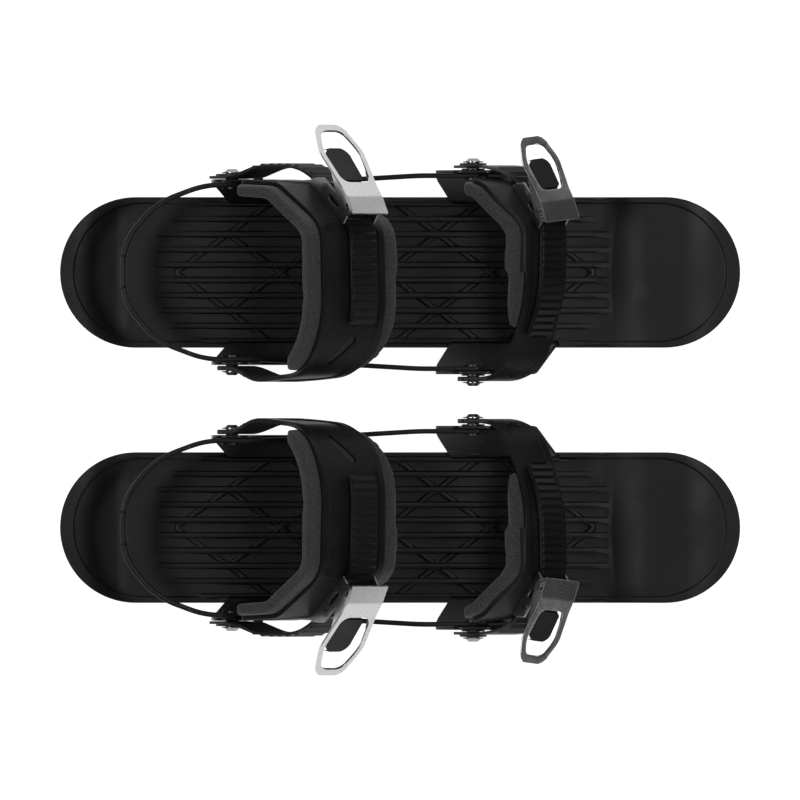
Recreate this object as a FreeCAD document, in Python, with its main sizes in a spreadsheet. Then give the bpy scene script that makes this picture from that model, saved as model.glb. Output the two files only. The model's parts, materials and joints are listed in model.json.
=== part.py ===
import FreeCAD, Part
import math
import os

# A pair of short ski skates: two upturned boards, each with a heel loop and two ratchet straps.
# Frame: +X towards the toes, +Y to the left foot, +Z up, origin midway between the boards on the floor.
# The left skate is modelled first, with +Y as its outer side, and the right one is its mirror image.

Vector = FreeCAD.Vector
Rotation = FreeCAD.Rotation
Placement = FreeCAD.Placement

# ---------------------------------------------------------------- driving sizes, millimetres and degrees

SIZES = {
    # boards
    "board_length": 440.0,
    "board_width": 97.5,
    "board_spacing": 165.2,
    "tail_rise": 12.0,
    "tail_turn": 37.0,
    "tail_tip": 13.0,
    "nose_rise": 25.0,
    "nose_turn": 70.0,
    "nose_tip": 20.0,
    "base_thick": 5.0,
    "deck_thick": 13.0,
    "rim_high": 1.5,
    "rim_side": 4.0,
    "rim_end": 8.8,
    "edge_wide": 2.0,
    "edge_high": 2.5,
    "groove_wide": 7.0,
    "groove_deep": 1.2,
    "groove_offset": 18.0,
    # footbed
    "rib_wide": 3.5,
    "rib_high": 1.8,
    "rib_pitch": 9.9,
    "rib_back": -160.4,
    "rib_front": 139.6,
    "rib_ramp_back": 8.0,
    "rib_ramp_front": 16.0,
    "lattice_wide": 3.2,
    "lattice_high": 0.9,
    "lattice_pitch": 67.8,
    "lattice_start": -145.2,
    # brackets, loop and pivots
    "sheet": 2.0,
    "slot_gap": 0.1,
    "wing_inset": 1.75,
    "front_bracket_back": 33.4,
    "front_bracket_front": 102.3,
    "rear_bracket_back": -110.2,
    "rear_bracket_front": -41.0,
    "front_ear_side": 66.0,
    "rear_ear_side": 60.0,
    "wing_bend": 22.0,
    "front_ear_bend": 39.0,
    "rear_ear_bend": 36.0,
    "loop_thick": 3.2,
    "loop_heel": -181.5,
    "loop_front_tall": 18.0,
    "loop_hole_pitch": 15.0,
    "toe_bolt_along": 47.3,
    "toe_bolt_up": 52.0,
    "ankle_bolt_along": -108.5,
    "ankle_bolt_up": 64.0,
    "barrel_radius": 4.0,
    "bolt_shank": 2.5,
    "head_radius": 6.8,
    "head_flange": 1.0,
    "head_dome": 1.8,
    "dome_radius": 5.0,
    "nut_flange": 1.0,
    "nut_radius": 6.5,
    "washer_thick": 1.0,
    "washer_radius": 7.5,
    "tab_play": 0.2,
    "side_gap": 0.3,
    "running_fit": 0.08,
    # screws from below
    "screw_shank": 2.2,
    "screw_head": 4.4,
    "screw_head_tall": 2.4,
    "screw_sunk": 0.6,
    "screw_tip": 15.0,
    "screw_along": 20.0,
    "screw_across": 28.0,
    # straps, shared
    "shell_wall": 3.0,
    "pad_thick": 8.0,
    "recess_deep": 0.8,
    "floor_thick": 1.2,
    "ladder_lift": 0.2,
    "ladder_thick": 1.8,
    "ladder_margin": 1.6,
    "tooth_high": 1.2,
    "tooth_pitch": 5.0,
    "cheek_thick": 1.5,
    "ladder_slack": 0.5,
    "lever_sheet": 1.5,
    "flange_thick": 1.2,
    "handle_angle": 13.0,
    "pin_radius": 2.0,
    "pin_head": 3.0,
    "pin_head_thick": 0.8,
    "pawl_pin_radius": 1.5,
    "pawl_wide": 10.0,
    "rivet_radius": 2.0,
    "cap_rivet_radius": 3.2,
    # ankle strap
    "ankle_tilt": 38.0,
    "ankle_shoulder_side": 45.0,
    "ankle_shoulder_up": 77.5,
    "ankle_slope": 53.0,
    "ankle_flat_down": 22.0,
    "ankle_flat_up": 26.0,
    "ankle_ladder_wide": 22.0,
    "ankle_ladder_along": 29.0,
    "ankle_ladder_tip": -35.0,
    "ankle_skew": 0.0,
    "ankle_slot_along": 21.5,
    "ankle_slot_side": 50.8,
    "ankle_slot_long": 22.0,
    "ankle_slot_wide": 4.5,
    "ankle_slot_turn": 40.0,
    "ankle_base_up": 15.0,
    "ankle_base_down": 20.0,
    "ankle_axle_along": -20.0,
    "ankle_axle_up": 10.5,
    "ankle_nose_reach": 9.0,
    "ankle_handle_long": 60.5,
    "ankle_handle_half": 18.0,
    "ankle_window_start": 11.0,
    "ankle_pawl_along": 6.0,
    "ankle_pawl_up": 8.0,
    "ankle_paddle_wide": 19.0,
    "ankle_paddle_end": 27.0,
    # toe strap
    "toe_tilt": 28.0,
    "toe_shoulder_side": 43.0,
    "toe_shoulder_up": 43.0,
    "toe_slope": 42.0,
    "toe_flat_down": 20.0,
    "toe_flat_up": 17.0,
    "toe_ladder_wide": 18.6,
    "toe_ladder_along": 27.7,
    "toe_ladder_tip": -43.0,
    "toe_skew": 9.0,
    "toe_base_up": 9.0,
    "toe_base_down": 17.0,
    "toe_axle_along": -15.0,
    "toe_axle_up": 10.5,
    "toe_nose_reach": 9.0,
    "toe_handle_long": 48.0,
    "toe_handle_half": 14.5,
    "toe_window_start": 8.0,
    "toe_pawl_along": 6.0,
    "toe_pawl_up": 8.0,
    "toe_paddle_wide": 16.0,
    "toe_paddle_end": 21.0,
}

doc = FreeCAD.newDocument("ski_skates")
sheet = doc.addObject("Spreadsheet::Sheet", "sizes")
for row, (alias, number) in enumerate(SIZES.items(), start=1):
    sheet.set(f"A{row}", alias)
    sheet.set(f"B{row}", str(number))
    sheet.setAlias(f"B{row}", alias)
doc.recompute()


def size(alias):
    """Read one driving size back from the sheet."""
    return float(sheet.get(alias))


# ---------------------------------------------------------------- outlines in a plane

def turn_between(before, corner, after):
    """Signed turn of a path at a corner, in radians: left is positive."""
    first = math.atan2(corner[1] - before[1], corner[0] - before[0])
    second = math.atan2(after[1] - corner[1], after[0] - corner[0])
    return math.remainder(second - first, 2 * math.pi)


def shifted_path(points, radii, distance):
    """Move an open path to its left by a distance, so that its corners stay parallel."""
    count = len(points)
    normals = []
    for start, end in zip(points, points[1:]):
        length = math.dist(start, end)
        normals.append(((start[1] - end[1]) / length, (end[0] - start[0]) / length))
    moved = []
    for index in range(count):
        left = normals[max(index - 1, 0)]
        right = normals[min(index, count - 2)]
        scale = distance / (1 + left[0] * right[0] + left[1] * right[1])
        moved.append((points[index][0] + scale * (left[0] + right[0]),
                      points[index][1] + scale * (left[1] + right[1])))
    new_radii = []
    for index in range(1, count - 1):
        side = math.copysign(1, turn_between(points[index - 1], points[index], points[index + 1]))
        new_radii.append(max(radii[index - 1] - side * distance, 0.2))
    return moved, new_radii


def rounded(points, radii, closed=False):
    """Lines and tangent arcs along a path whose corners have the given radii."""
    count = len(points)
    corners = range(count) if closed else range(1, count - 1)
    entry = {}
    leave = {}
    arcs = {}
    for index in corners:
        before, corner, after = points[index - 1], points[index], points[(index + 1) % count]
        radius = radii[index] if closed else radii[index - 1]
        turn = turn_between(before, corner, after)
        reach = radius * math.tan(abs(turn) / 2)
        if reach < 1e-6:
            entry[index] = leave[index] = corner
            continue
        to_before = [(b - c) / math.dist(before, corner) for b, c in zip(before, corner)]
        to_after = [(a - c) / math.dist(after, corner) for a, c in zip(after, corner)]
        entry[index] = (corner[0] + reach * to_before[0], corner[1] + reach * to_before[1])
        leave[index] = (corner[0] + reach * to_after[0], corner[1] + reach * to_after[1])
        middle = [(b + a) for b, a in zip(to_before, to_after)]
        depth = radius / math.cos(turn / 2) - radius
        norm = math.hypot(*middle)
        top = (corner[0] + depth * middle[0] / norm, corner[1] + depth * middle[1] / norm)
        arcs[index] = Part.Arc(flat(entry[index]), flat(top), flat(leave[index]))
    curves = []
    spans = range(count) if closed else range(count - 1)
    for index in spans:
        following = (index + 1) % count
        start = leave.get(index, points[index])
        end = entry.get(following, points[following])
        if math.dist(start, end) > 1e-5:
            curves.append(Part.LineSegment(flat(start), flat(end)))
        if following in arcs:
            curves.append(arcs[following])
    return curves


def flat(point):
    """A point of a plane outline as a vector."""
    return Vector(point[0], point[1], 0)


def band(points, radii, low, high):
    """Closed outline between a path moved left by low and by high."""
    near, near_radii = shifted_path(points, radii, low)
    far, far_radii = shifted_path(points, radii, high)
    curves = rounded(near, near_radii)
    curves.append(Part.LineSegment(flat(near[-1]), flat(far[-1])))
    curves += rounded(far[::-1], far_radii[::-1])
    curves.append(Part.LineSegment(flat(far[0]), flat(near[0])))
    return curves


def polygon(points, radius=0.0):
    """Closed outline through points, every corner with one radius or a radius of its own."""
    radii = radius if isinstance(radius, (list, tuple)) else [radius] * len(points)
    return rounded(points, radii, closed=True)


def stadium(half_length, half_width):
    """Closed outline with straight sides and round ends."""
    corners = [(half_length, half_width), (-half_length, half_width),
               (-half_length, -half_width), (half_length, -half_width)]
    return polygon(corners, half_width)


# ---------------------------------------------------------------- document objects

PLANES = {"X": ("YZ_Plane", 1), "Y": ("XZ_Plane", -1), "Z": ("XY_Plane", 1)}


def prism(name, axis, curves, low, high):
    """A body padded from an outline across an axis, between two expressions of the sheet."""
    role, sign = PLANES[axis]
    body = doc.addObject("PartDesign::Body", name)
    plane = next(item for item in body.Origin.OriginFeatures if item.Role == role)
    sketch = body.newObject("Sketcher::SketchObject", name + "_outline")
    sketch.AttachmentSupport = [(plane, "")]
    sketch.MapMode = "FlatFace"
    sketch.addGeometry(curves)
    sketch.setExpression("AttachmentOffset.Base.z", f"{sign} * (({low}) + ({high})) / 2")
    pad = body.newObject("PartDesign::Pad", name + "_pad")
    pad.Profile = sketch
    pad.SideType = "Symmetric"
    pad.setExpression("Length", f"({high}) - ({low})")
    return body


AXIS_TURN = {
    "X": Rotation(Vector(0, 1, 0), 90),
    "Y": Rotation(Vector(1, 0, 0), -90),
    "Z": Rotation(),
}


def cylinder(name, axis, centre, radius, low, high):
    """A cylinder along an axis through a centre, between two expressions of the sheet."""
    solid = doc.addObject("Part::Cylinder", name)
    solid.Placement = Placement(Vector(*centre), AXIS_TURN[axis])
    solid.setExpression("Radius", radius)
    solid.setExpression("Height", f"({high}) - ({low})")
    solid.setExpression(f"Placement.Base.{axis.lower()}", low)
    return solid


def common(name, first, second):
    """What two solids share."""
    result = doc.addObject("Part::Common", name)
    result.Base = first
    result.Tool = second
    return result


def fuse(name, solids):
    """Several solids as one, with their seams removed."""
    result = doc.addObject("Part::MultiFuse", name)
    result.Shapes = solids
    result.Refine = True
    return result


def cut(name, base, tools):
    """A solid less one or more others."""
    result = doc.addObject("Part::Cut", name)
    result.Base = base
    result.Tool = tools[0] if len(tools) == 1 else fuse(name + "_tools", tools)
    return result


def group(name, solids):
    """Separate identical fasteners kept as one node."""
    result = doc.addObject("Part::Compound", name)
    result.Links = solids
    return result


def mirrored(name, source):
    """The same solid on the other side of the XZ plane."""
    result = doc.addObject("Part::Mirroring", name)
    result.Source = source
    result.Normal = Vector(0, 1, 0)
    return result


# Every finished piece of the left skate, with its place in the pair.
PIECES = {}
HALF_SPACING = Vector(0, size("board_spacing") / 2, 0)


def finish(name, solid, place=Placement()):
    """Give a finished piece its label and its place on the left skate."""
    solid.Placement = Placement(HALF_SPACING, Rotation()) * place
    solid.Label = "left_" + name
    PIECES[name] = solid


# ---------------------------------------------------------------- board

HALF_LENGTH = size("board_length") / 2
HALF_WIDTH = size("board_width") / 2
OVER = 3.0
TAIL_BEND = -HALF_LENGTH + size("tail_turn")
NOSE_BEND = HALF_LENGTH - size("nose_turn")
SOLE = [
    (-HALF_LENGTH - OVER, size("tail_rise")),
    (-HALF_LENGTH + size("tail_tip"), size("tail_rise") - 2),
    (TAIL_BEND, 0),
    (NOSE_BEND, 0),
    (HALF_LENGTH - size("nose_tip"), size("nose_rise") - 3),
    (HALF_LENGTH + OVER, size("nose_rise")),
]
SOLE_RADII = [40, 50, 90, 60]
DECK_FLOOR = size("base_thick")
DECK_TOP = DECK_FLOOR + size("deck_thick")
RIM_TOP = DECK_TOP + size("rim_high")
FULL_WIDTH = ("-sizes.board_width", "sizes.board_width")
FULL_HEIGHT = ("-50", "100")


def board_layer(name, low, high, half_length=HALF_LENGTH, half_width=HALF_WIDTH):
    """A layer of the board between two heights above its sole, in a plan with round ends."""
    side = prism(name + "_side", "Y", band(SOLE, SOLE_RADII, low, high), *FULL_WIDTH)
    plan = prism(name + "_plan", "Z", stadium(half_length, half_width), *FULL_HEIGHT)
    return common(name + "_layer", side, plan)


def footbed_ribs():
    """Ten raised ribs with ramped ends, the outer ones shorter."""
    ribs = []
    low, high = DECK_TOP - 0.2, DECK_TOP + size("rib_high")
    shorter = {1: 0.0, 2: 0.0, 3: 0.0, 4: 10.0, 5: 26.4}
    for index, less in shorter.items():
        middle = (index - 0.5) * size("rib_pitch")
        start, end = size("rib_back") + less, size("rib_front") - less
        outline = polygon([(start, low), (end, low), (end - size("rib_ramp_front"), high),
                           (start + size("rib_ramp_back"), high)])
        rib = prism(f"rib_{index}", "Y", outline, f"{middle} - sizes.rib_wide / 2",
                    f"{middle} + sizes.rib_wide / 2")
        ribs += [rib, mirrored(f"rib_mirror_{index}", rib)]
    return ribs


def footbed_lattice():
    """Flat diagonal bars that cross between the ribs."""
    bars = []
    pitch = size("lattice_pitch")
    inner, outer = 2.5 * size("rib_pitch"), 4.5 * size("rib_pitch")
    slope = math.atan2(inner, pitch / 2)
    for node in range(5):
        for way in (1, -1):
            if not 0 <= node + way <= 4:
                continue
            ends_here = node + 2 * way in (-1, 5)
            reach = (inner if ends_here else outer) / math.sin(slope)
            for side in (1, -1):
                bar = doc.addObject("Part::Box", f"bar_{node}_{way + 1}_{side + 1}")
                bar.Length = reach
                bar.setExpression("Width", "sizes.lattice_wide")
                bar.Height = size("lattice_high") + 0.2
                angle = slope * side if way > 0 else math.pi - slope * side
                turn = Rotation(Vector(0, 0, 1), math.degrees(angle))
                start = Vector(size("lattice_start") + node * pitch, 0, DECK_TOP - 0.2)
                aside = turn.multVec(Vector(0, -size("lattice_wide") / 2, 0))
                bar.Placement = Placement(start + aside, turn)
                bars.append(bar)
    return bars


def screw_places():
    """The four screws of each bracket, seen from above."""
    places = []
    for bracket in ("front", "rear"):
        middle = (size(bracket + "_bracket_back") + size(bracket + "_bracket_front")) / 2
        for along in (1, -1):
            for across in (1, -1):
                places.append((middle + along * size("screw_along"), across * size("screw_across")))
    return places


def screw(name, place):
    """A countersunk screw with a hexagon socket, pointing up."""
    head = doc.addObject("Part::Cone", name + "_head")
    head.setExpression("Radius1", "sizes.screw_head")
    head.setExpression("Radius2", "sizes.screw_shank")
    head.setExpression("Height", "sizes.screw_head_tall")
    head.Placement.Base = Vector(*place, size("screw_sunk"))
    shank = cylinder(name + "_shank", "Z", (*place, 0), "sizes.screw_shank",
                     "sizes.screw_sunk + 1", "sizes.screw_tip")
    socket = doc.addObject("Part::Prism", name + "_socket")
    socket.Polygon = 6
    socket.Circumradius = 1.6
    socket.Height = 2.0
    socket.Placement.Base = Vector(*place, size("screw_sunk") - 0.5)
    return cut(name, fuse(name + "_body", [head, shank]), [socket])


def screw_hole(name, place):
    """The countersunk hole that a screw fills, with its mouth under the sole."""
    mouth = cylinder(name + "_mouth", "Z", (*place, 0), "sizes.screw_head", "-1", "sizes.screw_sunk")
    head = doc.addObject("Part::Cone", name + "_seat")
    head.setExpression("Radius1", "sizes.screw_head")
    head.setExpression("Radius2", "sizes.screw_shank")
    head.setExpression("Height", "sizes.screw_head_tall")
    head.Placement.Base = Vector(*place, size("screw_sunk"))
    bore = cylinder(name + "_bore", "Z", (*place, 0), "sizes.screw_shank", "0", "sizes.screw_tip")
    return fuse(name, [mouth, head, bore])


def board():
    """Running base, steel edge, deck with its footbed, and the screws from below."""
    ring_inner = board_layer("edge_inner", -1, size("edge_high") + 1,
                             HALF_LENGTH - size("edge_wide"), HALF_WIDTH - size("edge_wide"))
    finish("steel_edge", cut("steel_edge", board_layer("edge", 0, size("edge_high")), [ring_inner]))

    holes = [screw_hole(f"screw_hole_{index}", place) for index, place in enumerate(screw_places())]
    ring_space = cut("edge_space", board_layer("edge_all", -1, size("edge_high"), HALF_LENGTH + 1,
                                               HALF_WIDTH + 1), [ring_inner])
    grooves = []
    for side in (1, -1):
        middle = f"{side} * sizes.groove_offset"
        grooves.append(prism(f"groove_{side + 1}", "Y", band(SOLE, SOLE_RADII, -2, size("groove_deep")),
                             f"{middle} - sizes.groove_wide / 2", f"{middle} + sizes.groove_wide / 2"))
    base = board_layer("base", 0, DECK_FLOOR)
    finish("running_base", cut("running_base", base, [ring_space] + grooves + holes))

    recess = board_layer("recess", DECK_TOP, RIM_TOP + 5, HALF_LENGTH - size("rim_end"),
                         HALF_WIDTH - size("rim_side"))
    tray = cut("tray", board_layer("deck", DECK_FLOOR, RIM_TOP), [recess])
    footbed = fuse("footbed", [tray] + footbed_ribs() + footbed_lattice())
    slots = [bracket_solid("front", size("slot_gap")), bracket_solid("rear", size("slot_gap"))]
    finish("deck", cut("deck", footbed, slots + holes))

    screws = [screw(f"screw_{index}", place) for index, place in enumerate(screw_places())]
    finish("base_screws", group("base_screws", screws))


# ---------------------------------------------------------------- brackets and heel loop

def bracket_section(which, grow):
    """A bracket seen from the front: a web under the deck, and a wing and an upright ear each side."""
    ear, bend = size(which + "_ear_side"), size(which + "_ear_bend")
    wing = HALF_WIDTH - size("wing_inset")
    top = size(BOLTS[which] + "_bolt_up") + 30
    path = [(-ear, top), (-ear, bend), (-wing, size("wing_bend")), (-wing, DECK_FLOOR),
            (wing, DECK_FLOOR), (wing, size("wing_bend")), (ear, bend), (ear, top)]
    return band(path, [5, 3, 4, 4, 3, 5], -grow, size("sheet") + grow)


BOLTS = {"front": "toe", "rear": "ankle"}


def bracket_side(which, grow):
    """A bracket seen from the side: broad at the board, swept back to a round ear at its bolt."""
    back, front = size(which + "_bracket_back") - grow, size(which + "_bracket_front") + grow
    along, up = size(BOLTS[which] + "_bolt_along"), size(BOLTS[which] + "_bolt_up")
    bend = size(which + "_ear_bend")
    if which == "front":
        middle = [(front - 14, bend), (front - 19, bend + 6), (along + 11, up + 10), (along - 11, up + 10)]
        last = (back - 12, bend)
    else:
        middle = [(front - 11, bend - 2), (along + 20, bend + 6), (along + 12, bend + 16),
                  (along + 12, up + 12), (along - 12, up + 12)]
        last = (back - 12, bend + 1)
    points = [(back, 0), (front, 0), (front, size("wing_bend"))] + middle
    points += [last, (back, size("wing_bend"))]
    ear_radii = [5, 5, 9, 9] if which == "front" else [8, 8, 5, 9, 9]
    return polygon(points, [1, 1, 8] + ear_radii + [8, 6])


def bracket_solid(which, grow=0.0):
    """A bracket of bent sheet, or the room for it when it is grown by a gap."""
    name = f"{which}_bracket" if grow == 0 else f"{which}_slot"
    section = prism(name + "_section", "X", bracket_section(which, grow), "-sizes.board_length",
                    "sizes.board_length")
    side = prism(name + "_side", "Y", bracket_side(which, grow), *FULL_WIDTH)
    return common(name + "_sheet", section, side)


def brackets():
    """The two steel brackets that hold the pivots."""
    for which in ("front", "rear"):
        bolt = BOLTS[which]
        along, up = size(bolt + "_bolt_along"), size(bolt + "_bolt_up")
        tools = [cylinder(f"{which}_pivot_hole", "Y", (along, 0, up), "sizes.barrel_radius",
                          "-sizes.board_width", "sizes.board_width")]
        middle = (size(which + "_bracket_back") + size(which + "_bracket_front")) / 2
        for along_side in (1, -1):
            for across in (1, -1):
                place = (middle + along_side * size("screw_along"), across * size("screw_across"), 0)
                tools.append(cylinder(f"{which}_screw_hole_{along_side + 1}_{across + 1}", "Z", place,
                                      "sizes.screw_shank", "0", "sizes.screw_tip"))
        finish(which + "_bracket", cut(which + "_bracket", bracket_solid(which), tools))


def heel_loop():
    """One upright band from the front ears round the heel, with adjustment holes."""
    front, rear = size("front_ear_side") - size("sheet"), size("rear_ear_side") - size("sheet")
    heel = size("loop_heel")
    start = size("toe_bolt_along") + 9.7
    half = [(start, front), (12, front), (-88, rear), (-126, rear), (heel + 23.5, rear - 12),
            (heel + 3, 22)]
    path = half + [(heel, 0)] + [(along, -side) for along, side in reversed(half)]
    radii = [200, 200, 60, 55, 38]
    section = band(path, radii + [75] + radii[::-1], 0, size("loop_thick"))
    low, high = size("toe_bolt_up") - size("loop_front_tall") / 2, size("toe_bolt_up")
    high += size("loop_front_tall") / 2
    side = [(start, low), (start, high), (-55, high), (-98, size("ankle_bolt_up") + 12), (-135, 88),
            (heel - 10, 92), (heel - 10, 62), (-150, 60), (-112, size("ankle_bolt_up") - 12),
            (-60, low + 0.5)]
    plan = prism("loop_plan", "Z", section, *FULL_HEIGHT)
    outline = prism("loop_side", "Y", polygon(side, [8.5, 8.5, 30, 20, 20, 1, 1, 20, 20, 30]), *FULL_WIDTH)
    tools = [cylinder("loop_ankle_hole", "Y", (size("ankle_bolt_along"), 0, size("ankle_bolt_up")),
                      "sizes.barrel_radius", "-sizes.board_width", "sizes.board_width")]
    for index in range(4):
        along = size("toe_bolt_along") - index * size("loop_hole_pitch")
        tools.append(cylinder(f"loop_toe_hole_{index}", "Y", (along, 0, size("toe_bolt_up")),
                              "sizes.barrel_radius", "-sizes.board_width", "sizes.board_width"))
    finish("heel_loop", cut("heel_loop", common("loop_band", plan, outline), tools))


def pivot_stack(strap):
    """Distances out from the middle of a foot at one pivot, with room for the shell's wall at the tab."""
    ear = size(("front" if strap == "toe" else "rear") + "_ear_side")
    washer = size("washer_thick") if strap == "toe" else 0.0
    band_side = ear - size("sheet") - size("loop_thick")
    tab = ear + washer + size("side_gap")
    tab_out = tab + size("shell_wall") + size("tab_play")
    return {"nut": band_side - size("nut_flange"), "band": band_side, "ear": ear,
            "washer": ear + washer, "tab": tab, "tab_out": tab_out, "head": tab_out + size("side_gap")}


def pivots():
    """Sleeve nuts with a flange inside the loop, bolts with a domed head outside, and washers."""
    parts = {"bolt": [], "nut": [], "washer": []}
    for strap in ("toe", "ankle"):
        stack = pivot_stack(strap)
        centre = (size(strap + "_bolt_along"), 0, size(strap + "_bolt_up"))
        flange = cylinder(f"{strap}_nut_flange", "Y", centre, "sizes.nut_radius",
                          str(stack["nut"]), str(stack["band"]))
        sleeve = cylinder(f"{strap}_nut_sleeve", "Y", centre, "sizes.barrel_radius",
                          str(stack["nut"]), str(stack["head"]))
        bore = cylinder(f"{strap}_nut_bore", "Y", centre, "sizes.bolt_shank",
                        str(stack["nut"] - 1), str(stack["head"] + 1))
        nut = cut(f"{strap}_nut", fuse(f"{strap}_nut_body", [flange, sleeve]), [bore])
        shank = cylinder(f"{strap}_bolt_shank", "Y", centre, "sizes.bolt_shank",
                         str(stack["nut"]), str(stack["head"] + 0.5))
        plate = cylinder(f"{strap}_bolt_flange", "Y", centre, "sizes.head_radius",
                         str(stack["head"]), f"{stack['head']} + sizes.head_flange")
        dome = doc.addObject("Part::Cone", f"{strap}_bolt_dome")
        dome.setExpression("Radius1", "sizes.dome_radius")
        dome.setExpression("Radius2", "sizes.dome_radius * 0.6")
        dome.setExpression("Height", "sizes.head_dome")
        dome.Placement = Placement(Vector(centre[0], stack["head"] + size("head_flange"), centre[2]),
                                   AXIS_TURN["Y"])
        bolt = fuse(f"{strap}_bolt", [shank, plate, dome])
        pieces = {"bolt": bolt, "nut": nut}
        if strap == "toe":
            disc = cylinder("washer_disc", "Y", centre, "sizes.washer_radius",
                            str(stack["ear"]), str(stack["washer"]))
            hole = cylinder("washer_hole", "Y", centre, "sizes.barrel_radius",
                            str(stack["ear"] - 1), str(stack["washer"] + 1))
            pieces["washer"] = cut("washer", disc, [hole])
        for kind, piece in pieces.items():
            parts[kind] += [piece, mirrored(f"{strap}_{kind}_medial", piece)]
    for kind, pieces in parts.items():
        finish(f"pivot_{kind}s", group(f"pivot_{kind}s", pieces))


# ---------------------------------------------------------------- straps
# Each strap is drawn about its pivot: X along the strap's width, Y outwards, Z away from the pivot.

def shoulder_points(strap):
    """Both ends of the flat on the outer shoulder, where the buckle sits: upper, then lower."""
    slope = math.radians(size(strap + "_slope"))
    side, up = size(strap + "_shoulder_side"), size(strap + "_shoulder_up")
    return [(side + reach * math.cos(slope), up - reach * math.sin(slope))
            for reach in (-size(strap + "_flat_up"), size(strap + "_flat_down"))]


def arch_path(strap):
    """The shell's outer surface from the inner pivot over the foot to the outer side."""
    tab = pivot_stack(strap)["tab_out"]
    upper, lower = shoulder_points(strap)
    if strap == "ankle":
        points = [(-tab, -14), (-tab, 12), (-tab - 8, 32), (-tab - 3.5, 80), (-34, upper[1] + 2.2)]
        return points + [upper, lower, (60.5, 14)], [25, 30, 35, 65, 22, 18]
    points = [(-tab, -14), (-tab, 17), (-tab + 8.5, 31), (-14, upper[1] - 0.9)]
    return points + [upper, lower, (64.5, 8)], [20, 30, 70, 20, 18]


SHELL_SIDES = {
    "ankle": {
        "inner": ([(-10, -10), (10, -10), (12, 12), (20, 30), (34, 48), (42, 80), (48.5, 92),
                   (48.5, 120), (-2.5, 120), (-2.5, 60), (-8, 22)],
                  [9.5, 9.5, 10, 20, 20, 20, 10, 1, 1, 30, 20]),
        "outer": ([(-2.5, 120), (48.5, 120), (48.5, 64), (36, 44), (15, 28), (-17, 28), (-10, 58),
                   (-2.5, 86)], [1, 1, 14, 14, 4, 4, 20, 20]),
    },
    "toe": {
        "inner": ([(-10, -10), (10, -10), (12, 4), (22, 14), (34.5, 30), (38.5, 42), (38.5, 70),
                   (10, 70), (10, 40), (3, 18), (-10, 4)], [9.5, 9.5, 6, 12, 15, 15, 1, 1, 10, 12, 3]),
        "outer": ([(10, 70), (38.5, 70), (38.5, 44), (26, 26), (10, 18), (-14, 18), (-5, 35), (4, 47),
                   (10, 55)], [1, 1, 12, 12, 4, 4, 20, 20, 8]),
    },
}

PAD_SIDES = {
    "ankle": {
        "inner": ([(-12, 120), (61.4, 120), (60, 92), (46, 68), (-12, 68)], [1, 1, 20, 8, 8]),
        "outer": ([(-12, 120), (61.4, 120), (61, 84), (46, 54), (18, 29), (-22, 29), (-18, 56),
                   (-12, 84)], [1, 1, 20, 20, 5, 5, 20, 20]),
    },
    "toe": {
        "inner": ([(2, 70), (40, 70), (40, 48), (38, 39), (2, 39)], [1, 1, 6, 5, 5]),
        "outer": ([(2, 70), (40, 70), (39, 42), (24, 22), (14, 15), (-20, 15), (-8, 34), (2, 48)],
                  [1, 1, 12, 12, 4, 4, 12, 12]),
    },
}


RECESS_SIDES = {
    "ankle": {
        "inner": ([(14, 40), (29, 50), (36, 80), (43, 94), (43, 120), (3.5, 120), (3.5, 60), (4, 40)],
                  [4, 12, 20, 8, 1, 1, 20, 4]),
        "outer": ([(3.5, 94), (43, 94), (43, 120), (3.5, 120)], [3, 3, 1, 1]),
    },
    "toe": {
        "inner": ([(16, 20), (22, 22), (30, 32), (34.5, 43), (34.5, 70), (14.5, 70), (14.5, 40), (9, 24)],
                  [2, 5, 10, 10, 1, 1, 10, 4]),
        "outer": ([(14.5, 51.5), (34.5, 51.5), (34.5, 70), (14.5, 70)], [2, 2, 1, 1]),
    },
}


def ankle_slot():
    """A slanted slot right through the ankle shell on its inner side, seen from above."""
    along, side = size("ankle_slot_along"), size("ankle_slot_side")
    turn = math.radians(size("ankle_slot_turn"))
    reach, half_wide = size("ankle_slot_long") / 2, size("ankle_slot_wide") / 2
    corners = [(-half_wide, -reach), (half_wide, -reach), (half_wide, reach), (-half_wide, reach)]
    outline = [(along + across * math.cos(turn) + far * math.sin(turn),
                -side - across * math.sin(turn) + far * math.cos(turn)) for across, far in corners]
    return prism("ankle_shell_slot", "Z", polygon(outline, half_wide * 0.98), "20", "200")


def trimmed_arch(name, strap, sides, low, high):
    """A band over the foot between two distances outside the shell's face, cut to its side outlines."""
    points, radii = arch_path(strap)
    arch = prism(name + "_arch", "X", band(points, radii, low, high), "-100", "100")
    inner = prism(name + "_inner", "Y", polygon(*sides["inner"]), "-100", "0")
    outer = prism(name + "_outer", "Y", polygon(*sides["outer"]), "0", "100")
    return common(name + "_band", arch, fuse(name + "_sides", [inner, outer]))


def strap_place(strap):
    """Where a strap's own frame sits on the skate."""
    pivot = Vector(size(strap + "_bolt_along"), 0, size(strap + "_bolt_up"))
    return Placement(pivot, Rotation(Vector(0, 1, 0), size(strap + "_tilt")))


def buckle_place(strap):
    """Where a buckle's frame sits in its strap's frame: Y down the shoulder, Z out of it."""
    lift = size("floor_thick") + size("ladder_lift") + size("ladder_thick") / 2
    level = size(strap + "_shoulder_up") + lift * math.cos(math.radians(size(strap + "_slope")))
    origin = Vector(ladder_middle(strap, level), size(strap + "_shoulder_side"),
                    size(strap + "_shoulder_up"))
    slope_turn = Rotation(Vector(1, 0, 0), -size(strap + "_slope"))
    skew_turn = Rotation(Vector(0, 0, 1), size(strap + "_skew"))
    return Placement(origin, slope_turn * skew_turn)


def ladder_lean(strap):
    """How far a skewed ladder moves along the strap's width for each millimetre of height."""
    return math.tan(math.radians(size(strap + "_skew"))) / math.sin(math.radians(size(strap + "_slope")))


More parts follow.
